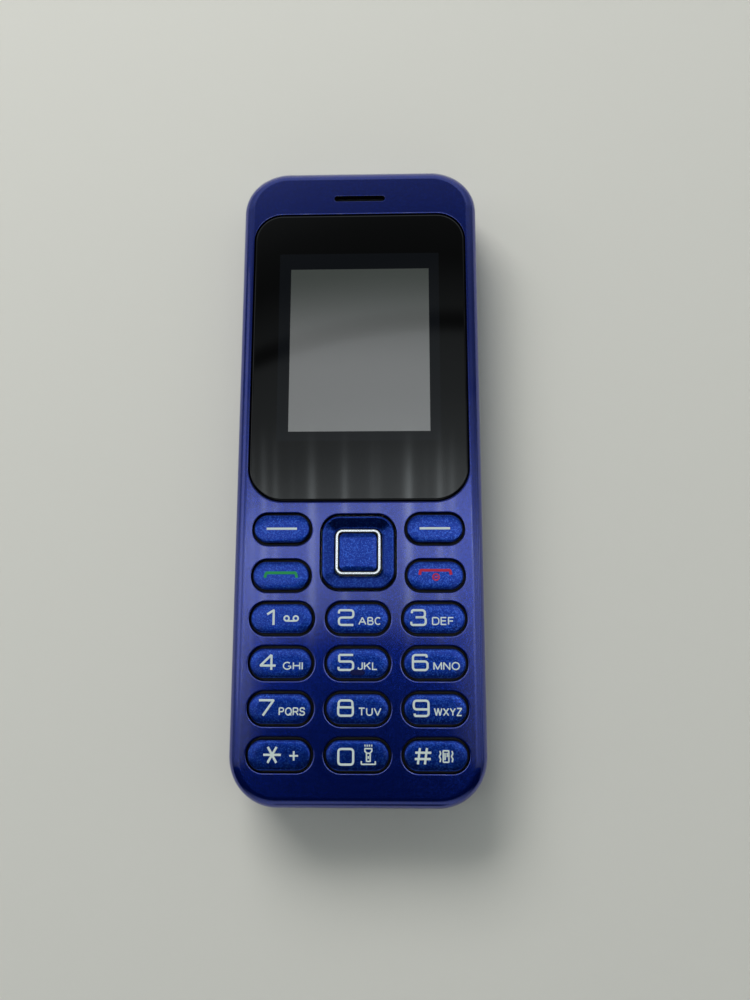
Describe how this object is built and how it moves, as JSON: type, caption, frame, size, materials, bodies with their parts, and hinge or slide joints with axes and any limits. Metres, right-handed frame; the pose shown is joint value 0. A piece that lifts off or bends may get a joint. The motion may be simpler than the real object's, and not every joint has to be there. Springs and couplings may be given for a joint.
{
  "type": "keypad phone",
  "caption": "Bar-shaped keypad phone with a small display under a black lens, pill-shaped keys, a square rocking navigation key and a removable battery cover.",
  "frame": {"origin": "middle of the flat back, with the phone lying on it", "axes": "+X to the right of the face, +Y towards the earpiece, +Z out of the face"},
  "size_m": [0.0472, 0.1252, 0.0132],
  "materials": {
    "blue_shell": "metallic blue lacquer on moulded plastic, glossy",
    "housing_blue": "metallic blue lacquer on moulded plastic, satin",
    "key_blue": "blue lacquer with fine bright flakes",
    "bright_trim": "plated, bright",
    "lens_black": "clear window printed black behind, polished",
    "clear_window": "clear, polished",
    "black_plastic": "moulded, fine grain",
    "mesh_black": "black foam and woven mesh",
    "rubber_clear": "translucent silicone",
    "board_green": "solder mask, satin",
    "sheet_steel": "tinned sheet",
    "gold_contact": "gold plated",
    "display_glass": "unlit grey display, glossy",
    "light_guide": "milky",
    "flex_amber": "amber film",
    "battery_silver": "bare can with a plain wrap"
  },
  "bodies": {
    "housing": {"antenna": "sheet_steel", "battery_contacts": "gold_contact", "camera_module": "black_plastic", "circuit_board": "board_green", "contact_block": "black_plastic", "display_backlight": "light_guide", "display_flex": "flex_amber", "display_frame": "sheet_steel", "display_lens": "lens_black", "display_panel": "display_glass", "earpiece_mesh": "mesh_black", "earpiece_receiver": "black_plastic", "front_cover": "blue_shell", "headset_jack": "black_plastic", "keypad_lights": "light_guide", "keypad_mat": "rubber_clear", "lens_tape": "mesh_black", "loudspeaker": "black_plastic", "memory_holder": "sheet_steel", "metal_domes": "sheet_steel", "microphone": "sheet_steel", "microphone_boot": "rubber_clear", "rear_housing": "housing_blue", "shield_cans": "sheet_steel", "sim_holders": "sheet_steel", "speaker_gasket": "mesh_black", "torch_led": "light_guide", "torch_lens": "clear_window", "usb_socket": "sheet_steel", "vibration_motor": "sheet_steel"},
    "key_1": {"key_1": "key_blue"},
    "key_2": {"key_2": "key_blue"},
    "key_3": {"key_3": "key_blue"},
    "key_4": {"key_4": "key_blue"},
    "key_5": {"key_5": "key_blue"},
    "key_6": {"key_6": "key_blue"},
    "key_7": {"key_7": "key_blue"},
    "key_8": {"key_8": "key_blue"},
    "key_9": {"key_9": "key_blue"},
    "key_0": {"key_0": "key_blue"},
    "star_key": {"star_key": "key_blue"},
    "hash_key": {"hash_key": "key_blue"},
    "left_soft_key": {"left_soft_key": "key_blue"},
    "right_soft_key": {"right_soft_key": "key_blue"},
    "call_key": {"call_key": "key_blue"},
    "end_key": {"end_key": "key_blue"},
    "nav_rocker": {"nav_rocker": "black_plastic"},
    "nav_ring": {"nav_ring": "key_blue"},
    "centre_key": {"centre_key": "key_blue", "centre_trim": "bright_trim"},
    "battery_cover": {"battery_cover": "blue_shell", "camera_window": "clear_window"},
    "battery": {"battery": "battery_silver"}
  },
  "joints": [
    {"name": "key_1_press", "type": "slide", "parent": "housing", "child": "key_1", "axis": [0, 0, -1], "range_m": [0, 0.0003], "stiffness_N_per_m": 600},
    {"name": "key_2_press", "type": "slide", "parent": "housing", "child": "key_2", "axis": [0, 0, -1], "range_m": [0, 0.0003], "stiffness_N_per_m": 600},
    {"name": "key_3_press", "type": "slide", "parent": "housing", "child": "key_3", "axis": [0, 0, -1], "range_m": [0, 0.0003], "stiffness_N_per_m": 600},
    {"name": "key_4_press", "type": "slide", "parent": "housing", "child": "key_4", "axis": [0, 0, -1], "range_m": [0, 0.0003], "stiffness_N_per_m": 600},
    {"name": "key_5_press", "type": "slide", "parent": "housing", "child": "key_5", "axis": [0, 0, -1], "range_m": [0, 0.0003], "stiffness_N_per_m": 600},
    {"name": "key_6_press", "type": "slide", "parent": "housing", "child": "key_6", "axis": [0, 0, -1], "range_m": [0, 0.0003], "stiffness_N_per_m": 600},
    {"name": "key_7_press", "type": "slide", "parent": "housing", "child": "key_7", "axis": [0, 0, -1], "range_m": [0, 0.0003], "stiffness_N_per_m": 600},
    {"name": "key_8_press", "type": "slide", "parent": "housing", "child": "key_8", "axis": [0, 0, -1], "range_m": [0, 0.0003], "stiffness_N_per_m": 600},
    {"name": "key_9_press", "type": "slide", "parent": "housing", "child": "key_9", "axis": [0, 0, -1], "range_m": [0, 0.0003], "stiffness_N_per_m": 600},
    {"name": "key_0_press", "type": "slide", "parent": "housing", "child": "key_0", "axis": [0, 0, -1], "range_m": [0, 0.0003], "stiffness_N_per_m": 600},
    {"name": "star_key_press", "type": "slide", "parent": "housing", "child": "star_key", "axis": [0, 0, -1], "range_m": [0, 0.0003], "stiffness_N_per_m": 600},
    {"name": "hash_key_press", "type": "slide", "parent": "housing", "child": "hash_key", "axis": [0, 0, -1], "range_m": [0, 0.0003], "stiffness_N_per_m": 600},
    {"name": "left_soft_key_press", "type": "slide", "parent": "housing", "child": "left_soft_key", "axis": [0, 0, -1], "range_m": [0, 0.0003], "stiffness_N_per_m": 600},
    {"name": "right_soft_key_press", "type": "slide", "parent": "housing", "child": "right_soft_key", "axis": [0, 0, -1], "range_m": [0, 0.0003], "stiffness_N_per_m": 600},
    {"name": "call_key_press", "type": "slide", "parent": "housing", "child": "call_key", "axis": [0, 0, -1], "range_m": [0, 0.0003], "stiffness_N_per_m": 600},
    {"name": "end_key_press", "type": "slide", "parent": "housing", "child": "end_key", "axis": [0, 0, -1], "range_m": [0, 0.0003], "stiffness_N_per_m": 600},
    {"name": "centre_key_press", "type": "slide", "parent": "housing", "child": "centre_key", "axis": [0, 0, -1], "range_m": [0, 0.0003], "stiffness_N_per_m": 600},
    {"name": "nav_up_down", "type": "hinge", "parent": "housing", "child": "nav_rocker", "pos_m": [0, -0.01645, 0.01057], "axis": [1, 0, 0], "range_deg": [-1.5, 1.5], "stiffness_Nm_per_rad": 0.05},
    {"name": "nav_left_right", "type": "hinge", "parent": "nav_rocker", "child": "nav_ring", "pos_m": [0, -0.01645, 0.01057], "axis": [0, 1, 0], "range_deg": [-1.5, 1.5], "stiffness_Nm_per_rad": 0.05},
    {"name": "cover_lift", "type": "slide", "parent": "housing", "child": "battery_cover", "axis": [0, 0, -1], "range_m": [0, 0.016]},
    {"name": "battery_lift", "type": "slide", "parent": "housing", "child": "battery", "axis": [0, 0, -1], "range_m": [0, 0.008]}
  ],
  "couplings": [
    {"joint": "battery_lift", "follows": "cover_lift", "ratio": 0.5}
  ]
}
